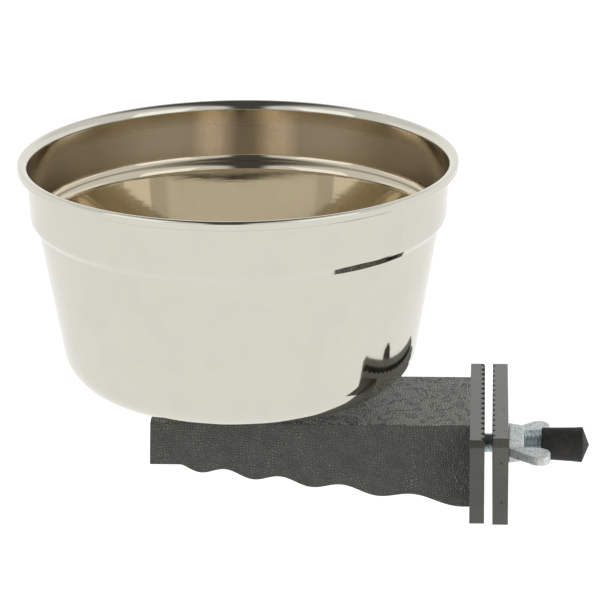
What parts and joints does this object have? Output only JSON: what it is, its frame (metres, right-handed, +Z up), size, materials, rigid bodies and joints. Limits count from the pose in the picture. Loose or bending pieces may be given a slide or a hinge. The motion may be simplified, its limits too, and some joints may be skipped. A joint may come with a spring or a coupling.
{
  "type": "crate pet bowl",
  "caption": "Stainless steel pet bowl on a plastic arm that clamps to crate wires with a bolt, wing nut and outer plate; the bowl twists and lifts off.",
  "frame": {"origin": "on the clamp bolt's axis, in the plane of the bracket's clamping face, where the crate wires are held", "axes": "+X along the bolt, out through the crate wall; +Z up, the way the bowl lifts off; +Y to the side"},
  "size_m": [0.1906, 0.146, 0.114],
  "materials": {
    "polished_steel": "stainless steel, mirror polished outside, satin above the step inside",
    "drawn_steel": "stainless sheet, dull drawn finish",
    "ring_rubber": "matt",
    "hub_plastic": "moulded, fine satin",
    "screw_zinc": "zinc plated",
    "bracket_plastic": "moulded, leather grain on the arm, smooth flange",
    "plate_plastic": "moulded, smooth satin",
    "bolt_zinc": "zinc plated",
    "cast_zinc": "cast, zinc plated, slightly pitted",
    "cap_rubber": "matt"
  },
  "bodies": {
    "bracket": {"bracket": "bracket_plastic", "clamp_bolt": "bolt_zinc", "lock_hub": "hub_plastic", "hub_screw_1": "screw_zinc", "hub_screw_2": "screw_zinc"},
    "friction_ring": {"friction_ring": "ring_rubber"},
    "bowl": {"bowl": "polished_steel", "lock_plate": "drawn_steel"},
    "outer_plate": {"clamp_plate": "plate_plastic"},
    "wing_nut": {"wing_nut": "cast_zinc"},
    "bolt_cap": {"bolt_cap": "cap_rubber"}
  },
  "joints": [
    {"name": "bowl_turn", "type": "hinge", "parent": "bracket", "child": "friction_ring", "pos_m": [-0.0823, 0, 0.01505], "axis": [0, 0, 1], "range_deg": [-60, 0]},
    {"name": "bowl_lift", "type": "slide", "parent": "friction_ring", "child": "bowl", "axis": [0, 0, 1], "range_m": [0, 0.03]},
    {"name": "plate_slide", "type": "slide", "parent": "bracket", "child": "outer_plate", "axis": [1, 0, 0], "range_m": [-0.0023, 0.004]},
    {"name": "nut_turn", "type": "hinge", "parent": "outer_plate", "child": "wing_nut", "pos_m": [0.00815, 0, 0], "axis": [1, 0, 0], "range_deg": [-600, 1060]},
    {"name": "cap_pull", "type": "slide", "parent": "bracket", "child": "bolt_cap", "axis": [1, 0, 0], "range_m": [0, 0.012]}
  ],
  "couplings": [
    {"joint": "plate_slide", "follows": "nut_turn", "m_per_rad": 0.00020213}
  ]
}
